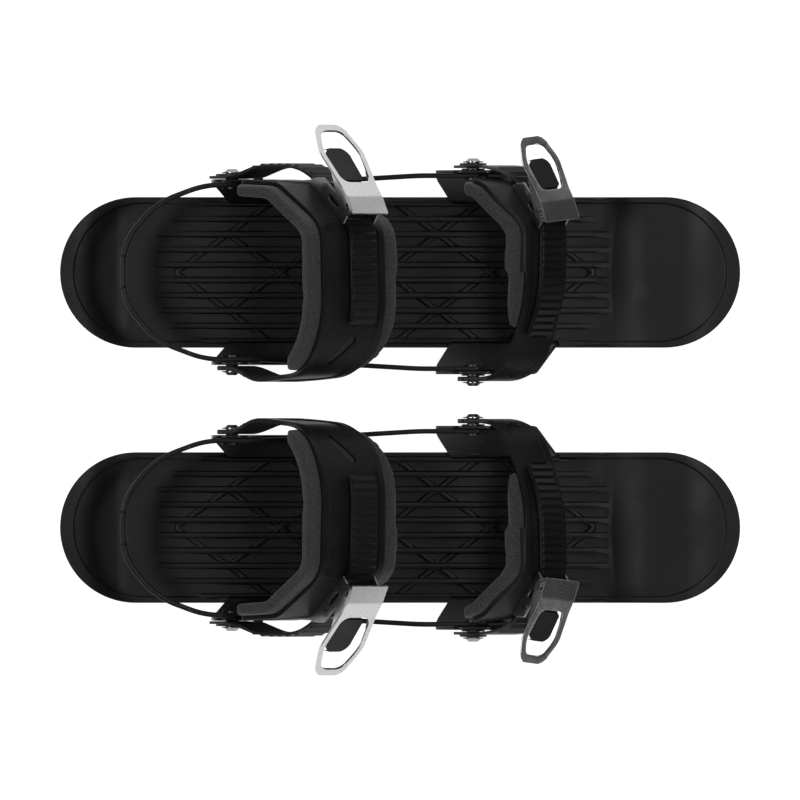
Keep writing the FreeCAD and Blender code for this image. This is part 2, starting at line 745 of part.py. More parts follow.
def ladder_middle(strap, height):
    """How far along the strap's width the ladder's middle is at a height above the pivot."""
    return size(strap + "_ladder_along") - ladder_lean(strap) * (shoulder_points(strap)[0][1] - height)


def ladder_path(strap):
    """The ladder's inner face, from its tip over the foot and through the buckle to the outer pivot."""
    points, radii = arch_path(strap)
    lift = size("floor_thick") + size("ladder_lift")
    raised, raised_radii = shifted_path(points, radii, lift)
    first = 4 if strap == "ankle" else 3
    lower = raised[first + 2]
    tab = pivot_stack(strap)["tab"]
    slope = math.tan(math.radians(size(strap + "_slope")))
    outer = tab + (7 if strap == "ankle" else 0)
    exit_up = lower[1] - (outer - lower[0]) * slope
    end = -14
    path = raised[first - 1:first + 2] + [(outer, exit_up)]
    bends = raised_radii[first - 1:first + 1] + [20]
    if strap == "ankle":
        path += [(outer, 27), (tab, 12)]
        bends += [20, 14]
    return path + [(tab, end)], bends


def points_along(points, radii, start, step):
    """Places at even steps along a rounded path, with the direction out to its left."""
    wire = Part.Wire([curve.toShape() for curve in rounded(points, radii)])
    places = []
    travelled = 0.0
    wanted = start
    for edge in wire.OrderedEdges:
        while wanted <= travelled + edge.Length:
            parameter = edge.getParameterByLength(wanted - travelled)
            spot, heading = edge.valueAt(parameter), edge.tangentAt(parameter)
            if edge.Orientation == "Reversed":
                parameter = edge.getParameterByLength(edge.Length - (wanted - travelled))
                spot, heading = edge.valueAt(parameter), -edge.tangentAt(parameter)
            places.append(((spot.x, spot.y), (-heading.y, heading.x)))
            wanted += step
        travelled += edge.Length
    return places


def teeth_outline(strap, skip_tip, skip_pivot):
    """A saw edge along the ladder's outer face, as one closed outline."""
    points, radii = ladder_path(strap)
    face, face_radii = shifted_path(points, radii, size("ladder_thick"))
    places = points_along(face, face_radii, skip_tip, size("tooth_pitch") / 5)
    places = places[:len(places) - int(skip_pivot / size("tooth_pitch") * 5)]
    places = places[:len(places) // 5 * 5 + 1]
    top, bottom = [], []
    for index, (spot, out) in enumerate(places):
        phase = index % 5
        if phase in (0, 4):
            rise = size("tooth_high") if phase == 4 else 0.0
            top.append((spot[0] + rise * out[0], spot[1] + rise * out[1]))
        bottom.append((spot[0] - 0.5 * out[0], spot[1] - 0.5 * out[1]))
    outline = top + bottom[::-1]
    return [Part.LineSegment(flat(a), flat(b)) for a, b in zip(outline, outline[1:] + outline[:1])]


def ladder(strap):
    """A toothed strip from the outer pivot through the buckle, with a boss at its eye."""
    half = size(strap + "_ladder_wide") / 2
    tip = size(strap + "_ladder_tip")
    points, radii = ladder_path(strap)
    strip = prism(strap + "_ladder_strip", "X", band(points, radii, 0, size("ladder_thick")), "-100", "100")
    saw = prism(strap + "_ladder_saw", "X", teeth_outline(strap, 4.6, 35), "-100", "100")
    turn_up = shoulder_points(strap)[1][1] - 4
    centre = [(ladder_middle(strap, height), height) for height in (130, turn_up)] + [(0, 8), (0, -10)]
    bends = [20, 14]
    narrow = math.cos(math.atan(ladder_lean(strap))) / math.cos(math.radians(size(strap + "_skew")))
    tip_along = ladder_middle(strap, shoulder_points(strap)[0][1] + min(tip + 30, 0))
    solids = []
    for part, solid, width in (("strip", strip, half), ("saw", saw, half - size("ladder_margin"))):
        shown = width * narrow
        side = prism(f"{strap}_{part}_side", "Y", band(centre, bends, -shown, shown), "-100", "100")
        wide, past = width + 0.6, tip + 14
        over = prism(f"{strap}_{part}_over", "Z", polygon(
            [(tip_along - wide, tip), (tip_along + wide, tip), (tip_along + wide, past), (100, past),
             (100, 120), (-100, 120), (-100, past), (tip_along - wide, past)],
            [5, 5, 0.5, 0.5, 0.5, 0.5, 0.5, 0.5]), "-200", "200")
        solids.append(common(f"{strap}_{part}_cut", common(f"{strap}_{part}_long", solid, side), over))
    stack = pivot_stack(strap)
    boss = cylinder(strap + "_ladder_boss", "Y", (0, 0, 0), f"{half} - 0.5",
                    str(stack["tab"]), str(stack["tab_out"]))
    eye = eye_hole(strap, strap + "_ladder_eye", 1)
    finish(strap + "_ladder", cut(strap + "_ladder", fuse(strap + "_ladder_body", solids + [boss]), [eye]),
           strap_place(strap))


def eye_hole(strap, name, side):
    """The running hole for the pivot sleeve through a tab on one side."""
    stack = pivot_stack(strap)
    low, high = stack["tab"] - 1, stack["tab_out"] + 1
    if side < 0:
        low, high = -high, -low
    return cylinder(name, "Y", (0, 0, 0), "sizes.barrel_radius + sizes.running_fit", str(low), str(high))


def rivet_spots(strap):
    """The two rivets under the buckle, as distances down the shoulder."""
    return [-3.0, size(strap + "_base_down") - 5.5]


def moved(name, solid, place):
    """A solid carried from one frame to another."""
    result = group(name, [solid])
    result.Placement = place
    return result


def shell_and_pad(strap):
    """The moulded shell, its foam pad and the rivets that hold the buckle and the pad."""
    holes = [eye_hole(strap, strap + "_shell_eye", -1)]
    rivets = []
    for index, spot in enumerate(rivet_spots(strap)):
        hole = cylinder(f"{strap}_shell_rivet_bore_{index}", "Z", (0, spot, 0), "sizes.rivet_radius",
                        "-sizes.shell_wall - 1", "1")
        rivet = cylinder(f"{strap}_rivet_stem_{index}", "Z", (0, spot, 0), "sizes.rivet_radius",
                         "-sizes.shell_wall", "sizes.floor_thick")
        holes.append(moved(f"{strap}_shell_rivet_hole_{index}", hole, buckle_place(strap)))
        rivets.append(moved(f"{strap}_rivet_{index}", rivet, buckle_place(strap)))
    lower = shoulder_points(strap)[1]
    points, _ = arch_path(strap)
    below = 0.62 if strap == "ankle" else 0.5
    end = points[-1]
    spot = (lower[0] + below * (end[0] - lower[0]), lower[1] + below * (end[1] - lower[1]))
    cap_along = -3 if strap == "ankle" else -2
    face = math.degrees(math.atan2(end[1] - lower[1], end[0] - lower[0]))
    cap_place = Placement(Vector(cap_along, *spot), Rotation(Vector(1, 0, 0), face))
    cap = cylinder(strap + "_cap_head", "Z", (0, 0, 0), "sizes.cap_rivet_radius", "0", "1.0")
    stem = cylinder(strap + "_cap_stem", "Z", (0, 0, 0), "sizes.pawl_pin_radius", "-sizes.shell_wall", "0.5")
    stem_hole = cylinder(strap + "_cap_hole", "Z", (0, 0, 0), "sizes.pawl_pin_radius",
                         "-sizes.shell_wall - 1", "1")
    cap_rivet = fuse(strap + "_cap_rivet", [cap, stem])
    cap_rivet.Placement = cap_place
    rivets.append(cap_rivet)
    holes.append(moved(strap + "_cap_seat", stem_hole, cap_place))
    wall, pad = size("shell_wall"), size("pad_thick")
    shell = trimmed_arch(strap + "_shell", strap, SHELL_SIDES[strap], -wall, 0)
    holes.append(trimmed_arch(strap + "_recess", strap, RECESS_SIDES[strap], -size("recess_deep"), 2))
    if strap == "ankle":
        holes.append(ankle_slot())
    finish(strap + "_shell", cut(strap + "_shell", shell, holes), strap_place(strap))
    finish(strap + "_pad", trimmed_arch(strap + "_pad", strap, PAD_SIDES[strap], -wall - pad, -wall),
           strap_place(strap))
    finish(strap + "_rivets", group(strap + "_rivets", rivets), strap_place(strap))


# ---------------------------------------------------------------- buckles
# Each buckle is drawn in its own frame: X across the ladder, Y down the shoulder, Z out of it.

def channel_half(strap):
    """Half the clear width between a buckle's cheeks."""
    return size(strap + "_ladder_wide") / 2 + size("ladder_slack")


def pin(name, spot, radius, half, head):
    """A pin across the buckle with a head at each end."""
    shank = cylinder(name + "_shank", "X", (0, *spot), radius, str(-half), str(half))
    ends = [cylinder(f"{name}_end_{side + 1}", "X", (0, *spot), head,
                     str(half if side > 0 else -half - size("pin_head_thick")),
                     str(half + size("pin_head_thick") if side > 0 else -half)) for side in (1, -1)]
    return fuse(name, [shank] + ends)


def buckle_base(strap):
    """A channel with a floor on the shell and two cheeks that hold the pins."""
    inner = channel_half(strap)
    outer = inner + size("cheek_thick")
    up, down = size(strap + "_base_up"), size(strap + "_base_down")
    axle = (size(strap + "_axle_along"), size(strap + "_axle_up"))
    pawl = (size(strap + "_pawl_along"), size(strap + "_pawl_up"))
    knuckle = 3.8
    cheek = polygon([(axle[0] - knuckle, 0), (down, 0), (down, 4.5), (pawl[0] + 5, pawl[1] + 3.5),
                     (axle[0] + 9, axle[1] + 1.5), (axle[0] + knuckle, axle[1] + knuckle),
                     (axle[0] - knuckle, axle[1] + knuckle)], [0, 0, 3, 4, 4, 3.7, 3.7])
    block = prism(strap + "_cheeks", "X", cheek, str(-outer), str(outer))
    room = prism(strap + "_channel", "X", polygon([(-60, -5), (60, -5), (60, 40), (-60, 40)]),
                 str(-inner), str(inner))
    floor = prism(strap + "_floor", "Z", polygon([(-outer, -up), (outer, -up), (outer, down + 2),
                                                  (-outer, down + 2)], 2.5), "0", "sizes.floor_thick")
    tools = [room, cylinder(strap + "_axle_hole", "X", (0, *axle), "sizes.pin_radius", "-30", "30"),
             cylinder(strap + "_pawl_hole", "X", (0, *pawl), "sizes.pawl_pin_radius", "-30", "30"),
             prism(strap + "_slot", "X", polygon([(axle[0] + 7, 4), (pawl[0] - 6, 4), (pawl[0] - 6, 7),
                                                  (axle[0] + 7, 7)], 1.4), "-30", "30")]
    body = cut(strap + "_base_body", block, tools)
    holes = [cylinder(f"{strap}_base_rivet_hole_{index}", "Z", (0, spot, 0), "sizes.rivet_radius", "-1",
                      "sizes.floor_thick + 1") for index, spot in enumerate(rivet_spots(strap))]
    base = cut(strap + "_buckle_base", fuse(strap + "_base_whole", [body, floor]), holes)
    finish(strap + "_buckle_base", base, strap_place(strap) * buckle_place(strap))


def lever_path(strap):
    """The underside of a lever's sheet: nose, bend over the axle, then the raised handle."""
    axle = (size(strap + "_axle_along"), size(strap + "_axle_up"))
    angle = math.radians(size("handle_angle"))
    nose = (axle[0] - size(strap + "_nose_reach"), axle[1] + 0.8)
    bend = (axle[0] + 3, axle[1] + 6)
    reach = size(strap + "_handle_long")
    return [nose, bend, (bend[0] + reach * math.cos(angle), bend[1] + reach * math.sin(angle))]


def lever_outline(strap, inset):
    """A lever seen from above: a square nose that widens into a drop-shaped handle."""
    path = lever_path(strap)
    flange = channel_half(strap) + size("cheek_thick") + size("side_gap") + size("flange_thick")
    half = size(strap + "_handle_half")
    nose, tip = path[0][0], path[2][0]
    widest = path[1][0] + 0.62 * (tip - path[1][0])
    if inset:
        start = path[1][0] + size(strap + "_window_start")
        half, end = half - 3.6, tip - 5.5
        narrow = half * 0.78
        near, far = 0.6 * narrow, 0.54 * half
        return polygon([(-narrow, start), (narrow, start), (half, widest), (half * 0.58, end),
                        (-half * 0.58, end), (-half, widest)], [near, near, 22, far, far, 22])
    return polygon([(-flange, nose - 1), (flange, nose - 1), (flange, path[1][0] + 8), (half, widest),
                    (half * 0.6, tip), (-half * 0.6, tip), (-half, widest), (-flange, path[1][0] + 8)],
                   [1.5, 1.5, 25, 20, 0.55 * half, 0.55 * half, 20, 25])


def lever(strap):
    """A formed sheet handle with an open window and a flange each side that turns on the axle."""
    path = lever_path(strap)
    thick = size("lever_sheet")
    sheet_body = prism(strap + "_lever_sheet", "X", band(path, [9], 0, thick), "-40", "40")
    plan = prism(strap + "_lever_plan", "Z", lever_outline(strap, False), "-20", "60")
    window = prism(strap + "_lever_window", "Z", lever_outline(strap, True), "-20", "60")
    plate = cut(strap + "_lever_plate", common(strap + "_lever_cut", sheet_body, plan), [window])
    axle = (size(strap + "_axle_along"), size(strap + "_axle_up"))
    angle = math.radians(size("handle_angle"))
    bend = path[1]
    far = (bend[0] + 22, bend[1] + 22 * math.tan(angle) + 0.6)
    side = polygon([(axle[0] - size(strap + "_nose_reach") + 0.6, axle[1] + 1.8), (bend[0], bend[1] + 0.9),
                    far, (far[0], far[1] - 2.2), (axle[0] + 8, axle[1] - 1.5), (axle[0] + 3, axle[1] - 5),
                    (axle[0] - 4, axle[1] - 5)], [0.5, 6, 0.5, 0.8, 6, 4, 4])
    inner = channel_half(strap) + size("cheek_thick") + size("side_gap")
    outer = inner + size("flange_thick")
    flanges = [prism(f"{strap}_flange_{index}", "X", side, str(low), str(high))
               for index, (low, high) in enumerate([(inner, outer), (-outer, -inner)])]
    hole = cylinder(strap + "_lever_hole", "X", (0, *axle), "sizes.pin_radius + sizes.running_fit", "-30", "30")
    body = cut(strap + "_lever", fuse(strap + "_lever_body", [plate] + flanges), [hole])
    finish(strap + "_lever", body, strap_place(strap) * buckle_place(strap))
    axle_pin = pin(strap + "_lever_pin", axle, "sizes.pin_radius", outer + size("side_gap"),
                   "sizes.pin_head")
    finish(strap + "_lever_pin", axle_pin, strap_place(strap) * buckle_place(strap))


def pawl(strap):
    """A catch on its own pin, with a broad paddle under the lever's window, and its two coil springs."""
    spot = (size(strap + "_pawl_along"), size(strap + "_pawl_up"))
    half = size("pawl_wide") / 2
    arm = polygon([(spot[0] - 11, spot[1] - 3), (spot[0] - 3, spot[1] - 3), (spot[0] + 3.5, spot[1] - 3),
                   (spot[0] + 3.5, spot[1] + 3.5), (spot[0] - 4, spot[1] + 9.5), (spot[0] - 7.5, spot[1] + 9),
                   (spot[0] - 3.5, spot[1] + 2.5), (spot[0] - 11, spot[1] - 0.8)],
                  [0.4, 1, 3.2, 3.2, 0.5, 0.5, 3, 0.4])
    stem = prism(strap + "_pawl_arm", "X", arm, str(-half), str(half))
    start, end = spot[0] - 7.5, size(strap + "_paddle_end")
    paddle_path = [(start, spot[1] + 8.4), (end, spot[1] + 8.4 + (end - start) * 0.18)]
    paddle = prism(strap + "_paddle_side", "X", band(paddle_path, [], 0, 2.2), "-40", "40")
    wide = size(strap + "_paddle_wide") / 2
    paddle_plan = prism(strap + "_paddle_plan", "Z", polygon(
        [(-wide, start), (wide, start), (wide, end), (-wide, end)],
        [3.5, 3.5, 0.8 * wide, 0.8 * wide]), "-10", "60")
    hole = cylinder(strap + "_pawl_bore", "X", (0, *spot), "sizes.pawl_pin_radius + sizes.running_fit",
                    "-30", "30")
    body = fuse(strap + "_pawl_body", [stem, common(strap + "_paddle", paddle, paddle_plan)])
    place = strap_place(strap) * buckle_place(strap)
    finish(strap + "_pawl", cut(strap + "_pawl", body, [hole]), place)
    finish(strap + "_pawl_pin", pin(strap + "_pawl_pin", spot, "sizes.pawl_pin_radius",
                                    channel_half(strap) + size("cheek_thick"), "sizes.pawl_pin_radius + 0.8"),
           place)
    coils = []
    low, high = half + 0.4, half + 0.4 + (3.2 if strap == "ankle" else 2.4)
    for way in (1, -1):
        near, far = (low, high) if way > 0 else (-high, -low)
        outside = cylinder(f"{strap}_coil_{way + 1}", "X", (0, *spot), "sizes.pawl_pin_radius + 1.5",
                           str(near), str(far))
        inside = cylinder(f"{strap}_coil_room_{way + 1}", "X", (0, *spot), "sizes.pawl_pin_radius + 0.3",
                          str(near - 1), str(far + 1))
        coils.append(cut(f"{strap}_coil_ring_{way + 1}", outside, [inside]))
    finish(strap + "_pawl_spring", group(strap + "_pawl_spring", coils), place)


# ---------------------------------------------------------------- the pair

board()
brackets()
heel_loop()
pivots()
for strap in ("ankle", "toe"):
    shell_and_pad(strap)
    ladder(strap)
    buckle_base(strap)
    lever(strap)
    pawl(strap)

finished = dict(PIECES)
for name, piece in PIECES.items():
    right = mirrored("right_" + name, piece)
    right.Label = "right_" + name
    finished["right_" + name] = right

doc.recompute()
for item in doc.Objects:
    faults = [state for state in item.State if state in ("Invalid", "Error")]
    if faults:
        raise RuntimeError(f"{item.Name} failed: {faults}")
for item in finished.values():
    if item.Shape.isNull() or not item.Shape.isValid():
        raise RuntimeError(f"{item.Label} has no valid shape")

os.makedirs("parts", exist_ok=True)
for item in finished.values():
    item.Shape.exportStep(f"parts/{item.Label}.step")
print(f"{len(finished)} pieces written")
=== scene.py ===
"""A pair of short ski skates on a pale floor, seen from straight above."""
import json
import logging
import math
from dataclasses import dataclass
from enum import Enum

import bmesh
import bpy
from mathutils import Matrix, Vector


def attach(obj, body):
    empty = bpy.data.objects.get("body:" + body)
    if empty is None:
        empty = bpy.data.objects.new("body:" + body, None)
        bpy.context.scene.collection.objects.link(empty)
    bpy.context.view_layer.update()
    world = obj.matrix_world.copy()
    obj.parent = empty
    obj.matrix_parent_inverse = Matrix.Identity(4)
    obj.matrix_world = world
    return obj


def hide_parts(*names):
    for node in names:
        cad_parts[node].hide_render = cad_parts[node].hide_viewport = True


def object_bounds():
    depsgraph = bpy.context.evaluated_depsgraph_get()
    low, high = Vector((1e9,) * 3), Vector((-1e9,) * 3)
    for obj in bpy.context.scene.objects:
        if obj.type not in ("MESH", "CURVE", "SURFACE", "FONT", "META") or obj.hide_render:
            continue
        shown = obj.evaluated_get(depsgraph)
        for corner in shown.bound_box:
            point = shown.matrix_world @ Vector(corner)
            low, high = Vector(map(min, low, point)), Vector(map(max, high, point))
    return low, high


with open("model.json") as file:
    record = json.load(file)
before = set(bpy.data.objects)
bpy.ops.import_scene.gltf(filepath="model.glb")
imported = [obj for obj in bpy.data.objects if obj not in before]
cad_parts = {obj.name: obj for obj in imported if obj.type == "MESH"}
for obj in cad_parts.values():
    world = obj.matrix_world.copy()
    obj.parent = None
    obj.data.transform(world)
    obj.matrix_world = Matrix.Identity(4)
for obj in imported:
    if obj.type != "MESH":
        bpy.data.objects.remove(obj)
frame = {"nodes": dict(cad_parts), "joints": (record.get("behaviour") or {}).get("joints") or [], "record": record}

CAD_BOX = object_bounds()
logging.basicConfig(level=logging.INFO, format="%(message)s")
log = logging.getLogger("ski_skates")
MM = 0.001
MERGE_DISTANCE = 0.005 * MM
SHARP_DEGREES = 32.0
ROUNDING_SHARES = (1.0, 0.6, 0.35)
LEAST_EDGE_IN_ROUNDINGS = 1.2
LEAST_VOLUME_KEPT, MOST_VOLUME_KEPT = 0.93, 1.001


class Side(Enum):
    """Which foot a skate is for."""

    LEFT = "left"
    RIGHT = "right"


class StrapKind(Enum):
    """Which part of the boot a strap holds."""

    ANKLE = "ankle"
    TOE = "toe"


# ---------------------------------------------------------------- shader groups


def new_group(name: str, inputs: dict[str, float], outputs: dict[str, str]) -> bpy.types.NodeTree:
    """Makes an empty shader group with named sockets.

    Args:
        name: The group's name.
        inputs: Each float input and its default.
        outputs: Each output and its socket type.

    Returns:
        The group, with its input and output nodes in place.
    """
    tree = bpy.data.node_groups.new(name, "ShaderNodeTree")
    for label, value in inputs.items():
        tree.interface.new_socket(label, in_out="INPUT", socket_type="NodeSocketFloat").default_value = value
    for label, kind in outputs.items():
        tree.interface.new_socket(label, in_out="OUTPUT", socket_type=kind)
    tree.nodes.new("NodeGroupInput")
    tree.nodes.new("NodeGroupOutput")
    return tree


def noise(tree: bpy.types.NodeTree, vector: bpy.types.NodeSocket, scale: float,
          detail: float = 3.0) -> bpy.types.Node:
    """Adds a noise texture on a vector.

    Args:
        tree: The node tree that takes it.
        vector: Where the pattern is read.
        scale: Features per metre.
        detail: How many finer layers it has.

    Returns:
        The noise node.
    """
    node = tree.nodes.new("ShaderNodeTexNoise")
    node.inputs["Scale"].default_value = scale
    node.inputs["Detail"].default_value = detail
    tree.links.new(vector, node.inputs["Vector"])
    return node


def ramp(tree: bpy.types.NodeTree, factor: bpy.types.NodeSocket, low: float,
         high: float) -> bpy.types.Node:
    """Adds a clamped map of a range to 0..1.

    Args:
        tree: The node tree that takes it.
        factor: The value to map.
        low: The value that becomes 0.
        high: The value that becomes 1.

    Returns:
        The map node.
    """
    node = tree.nodes.new("ShaderNodeMapRange")
    node.inputs["From Min"].default_value = low
    node.inputs["From Max"].default_value = high
    tree.links.new(factor, node.inputs["Value"])
    return node


def make_grain_group() -> bpy.types.NodeTree:
    """Makes the grain of a moulded or sprayed surface.

    Returns:
        A group that puts out a normal and a soft cloudy mask.
    """
    tree = new_group("surface_grain", {"Scale": 1500.0, "Depth": 0.2},
                     {"Normal": "NodeSocketVector", "Cloud": "NodeSocketFloat"})
    source, result = tree.nodes["Group Input"], tree.nodes["Group Output"]
    place = tree.nodes.new("ShaderNodeTexCoord")
    fine = noise(tree, place.outputs["Object"], 1500.0, 2.0)
    tree.links.new(source.outputs["Scale"], fine.inputs["Scale"])
    bump = tree.nodes.new("ShaderNodeBump")
    bump.inputs["Distance"].default_value = 0.1 * MM
    tree.links.new(source.outputs["Depth"], bump.inputs["Strength"])
    tree.links.new(fine.outputs["Fac"], bump.inputs["Height"])
    tree.links.new(bump.outputs["Normal"], result.inputs["Normal"])
    cloud = noise(tree, place.outputs["Object"], 45.0, 4.0)
    tree.links.new(ramp(tree, cloud.outputs["Fac"], 0.3, 0.7).outputs["Result"], result.inputs["Cloud"])
    return tree


def make_scuff_group() -> bpy.types.NodeTree:
    """Makes fine rubbed scratches, gathered in patches.

    Returns:
        A group that puts out the scratches' mask.
    """
    tree = new_group("scuffs", {"Amount": 0.5}, {"Mask": "NodeSocketFloat"})
    source, result = tree.nodes["Group Input"], tree.nodes["Group Output"]
    place = tree.nodes.new("ShaderNodeTexCoord")
    stretch = tree.nodes.new("ShaderNodeMapping")
    stretch.inputs["Scale"].default_value = (60.0, 900.0, 900.0)
    stretch.inputs["Rotation"].default_value = (0.0, 0.0, 0.35)
    tree.links.new(place.outputs["Object"], stretch.inputs["Vector"])
    lines = ramp(tree, noise(tree, stretch.outputs["Vector"], 1.0).outputs["Fac"], 0.62, 0.7)
    patches = ramp(tree, noise(tree, place.outputs["Object"], 30.0).outputs["Fac"], 0.5, 0.65)
    both = tree.nodes.new("ShaderNodeMath")
    both.operation = "MULTIPLY"
    tree.links.new(lines.outputs["Result"], both.inputs[0])
    tree.links.new(patches.outputs["Result"], both.inputs[1])
    scaled = tree.nodes.new("ShaderNodeMath")
    scaled.operation = "MULTIPLY"
    tree.links.new(both.outputs["Value"], scaled.inputs[0])
    tree.links.new(source.outputs["Amount"], scaled.inputs[1])
    tree.links.new(scaled.outputs["Value"], result.inputs["Mask"])
    return tree


GRAIN = make_grain_group()
SCUFFS = make_scuff_group()


# ---------------------------------------------------------------- finishes


@dataclass(frozen=True)
class Finish:
    """What every finish has, and the steps that they share."""

    name: str
    colour: tuple[float, float, float]
    roughness: float

    def start(self) -> tuple[bpy.types.Material, bpy.types.NodeTree, bpy.types.Node]:
        """Makes the material and sets its plain values.

        Returns:
            The material, its node tree and its shader node.
        """
        material = bpy.data.materials.new(self.name)
        material.use_nodes = True
        tree = material.node_tree
        shader = tree.nodes["Principled BSDF"]
        shader.inputs["Base Color"].default_value = (*self.colour, 1.0)
        shader.inputs["Roughness"].default_value = self.roughness
        return material, tree, shader

    @staticmethod
    def place_group(tree: bpy.types.NodeTree, group: bpy.types.NodeTree, **values: float) -> bpy.types.Node:
        """Places a shared group.

        Args:
            tree: The material's node tree.
            group: The shared group.
            values: The group's inputs in this material.

        Returns:
            The group's node.
        """
        node = tree.nodes.new("ShaderNodeGroup")
        node.node_tree = group
        for label, value in values.items():
            node.inputs[label].default_value = value
        return node

    @staticmethod
    def mix_colour(tree: bpy.types.NodeTree, factor: bpy.types.NodeSocket, first: object,
                   second: object) -> bpy.types.NodeSocket:
        """Mixes two colours, each a socket or a plain colour.

        Args:
            tree: The material's node tree.
            factor: The mask that chooses between them.
            first: The colour at 0.
            second: The colour at 1.

        Returns:
            The mixed colour.
        """
        node = tree.nodes.new("ShaderNodeMix")
        node.data_type = "RGBA"
        tree.links.new(factor, node.inputs["Factor"])
        for value, socket in ((first, node.inputs[6]), (second, node.inputs[7])):
            if isinstance(value, bpy.types.NodeSocket):
                tree.links.new(value, socket)
            else:
                socket.default_value = (*value, 1.0)
        return node.outputs[2]

    @staticmethod
    def spread(tree: bpy.types.NodeTree, factor: bpy.types.NodeSocket, low: float,
               high: float) -> bpy.types.NodeSocket:
        """Turns a 0..1 mask into a value between two others.

        Args:
            tree: The material's node tree.
            factor: The mask.
            low: The value at 0.
            high: The value at 1.

        Returns:
            The value's socket.
        """
        node = tree.nodes.new("ShaderNodeMapRange")
        node.inputs["To Min"].default_value = low
        node.inputs["To Max"].default_value = high
        tree.links.new(factor, node.inputs["Value"])
        return node.outputs["Result"]


@dataclass(frozen=True)
class Moulded(Finish):
    """Black injection-moulded plastic, or powder-coated sheet, with a fine grain and rubbed patches."""

    grain_scale: float = 1600.0
    grain_depth: float = 0.25
    scuff: float = 0.4
    rubbed: tuple[float, float, float] = (0.12, 0.12, 0.12)
    gloss: float = 0.3
    coat: float = 0.0

    def build(self) -> bpy.types.Material:
        """Builds the material.

        Returns:
            The finished material.
        """
        material, tree, shader = self.start()
        shader.inputs["Specular IOR Level"].default_value = self.gloss
        shader.inputs["Coat Weight"].default_value = self.coat
        shader.inputs["Coat Roughness"].default_value = 0.25
        grain = self.place_group(tree, GRAIN, Scale=self.grain_scale, Depth=self.grain_depth)
        scuffs = self.place_group(tree, SCUFFS, Amount=self.scuff)
        darker = tuple(0.72 * channel for channel in self.colour)
        cloudy = self.mix_colour(tree, grain.outputs["Cloud"], darker, self.colour)
        worn = self.mix_colour(tree, scuffs.outputs["Mask"], cloudy, self.rubbed)
        tree.links.new(worn, shader.inputs["Base Color"])
        uneven = self.spread(tree, grain.outputs["Cloud"], self.roughness * 0.88, self.roughness * 1.12)
        tree.links.new(uneven, shader.inputs["Roughness"])
        tree.links.new(grain.outputs["Normal"], shader.inputs["Normal"])
        return material


@dataclass(frozen=True)
class Footbed(Moulded):
    """Moulded plastic whose raised ribs are rubbed smooth by boots."""

    rib_low: float = 18.0 * MM
    rib_top: float = 19.8 * MM
    ribs_back: float = -161.0 * MM
    ribs_front: float = 140.0 * MM
    rubbed_smooth: float = 0.38

    def build(self) -> bpy.types.Material:
        """Builds the material.

        Returns:
            The finished material.
        """
        material = super().build()
        tree = material.node_tree
        shader = tree.nodes["Principled BSDF"]
        place = tree.nodes.new("ShaderNodeTexCoord")
        split = tree.nodes.new("ShaderNodeSeparateXYZ")
        tree.links.new(place.outputs["Object"], split.inputs["Vector"])
        risen = ramp(tree, split.outputs["Z"], self.rib_low + 0.1 * MM, self.rib_low + 0.5 * MM)
        below = ramp(tree, split.outputs["Z"], self.rib_top + 1.2 * MM, self.rib_top + 0.4 * MM)
        behind = ramp(tree, split.outputs["X"], self.ribs_front + 3.0 * MM, self.ribs_front)
        ahead = ramp(tree, split.outputs["X"], self.ribs_back - 3.0 * MM, self.ribs_back)
        mask = risen.outputs["Result"]
        for limit in (below, behind, ahead):
            both = tree.nodes.new("ShaderNodeMath")
            both.operation = "MULTIPLY"
            tree.links.new(mask, both.inputs[0])
            tree.links.new(limit.outputs["Result"], both.inputs[1])
            mask = both.outputs["Value"]
        worn = tree.nodes.new("ShaderNodeMix")
        tree.links.new(mask, worn.inputs["Factor"])
        tree.links.new(shader.inputs["Roughness"].links[0].from_socket, worn.inputs["A"])
        worn.inputs["B"].default_value = self.rubbed_smooth
        tree.links.new(worn.outputs["Result"], shader.inputs["Roughness"])
        return material


@dataclass(frozen=True)
class Metal(Finish):
    """Bare steel with fine lines, drawn out along the axis whose scale is least."""

    brushed_along: tuple[float, float, float] = (30.0, 1600.0, 1600.0)
    line_depth: float = 0.12
    rough_spread: float = 0.1

    def build(self) -> bpy.types.Material:
        """Builds the material.

        Returns:
            The finished material.
        """
        material, tree, shader = self.start()
        shader.inputs["Metallic"].default_value = 1.0
        place = tree.nodes.new("ShaderNodeTexCoord")
        stretch = tree.nodes.new("ShaderNodeMapping")
        stretch.inputs["Scale"].default_value = self.brushed_along
        tree.links.new(place.outputs["Object"], stretch.inputs["Vector"])
        lines = noise(tree, stretch.outputs["Vector"], 1.0, 4.0)
        cloud = self.place_group(tree, GRAIN, Scale=900.0, Depth=0.0)
        shade = ramp(tree, lines.outputs["Fac"], 0.3, 0.7).outputs["Result"]
        darker = tuple(0.82 * channel for channel in self.colour)
        tree.links.new(self.mix_colour(tree, shade, darker, self.colour), shader.inputs["Base Color"])
        low, high = self.roughness - self.rough_spread / 2, self.roughness + self.rough_spread / 2
        tree.links.new(self.spread(tree, cloud.outputs["Cloud"], low, high), shader.inputs["Roughness"])
        bump = tree.nodes.new("ShaderNodeBump")
        bump.inputs["Strength"].default_value = self.line_depth
        bump.inputs["Distance"].default_value = 0.05 * MM
        tree.links.new(lines.outputs["Fac"], bump.inputs["Height"])
        tree.links.new(bump.outputs["Normal"], shader.inputs["Normal"])
        return material


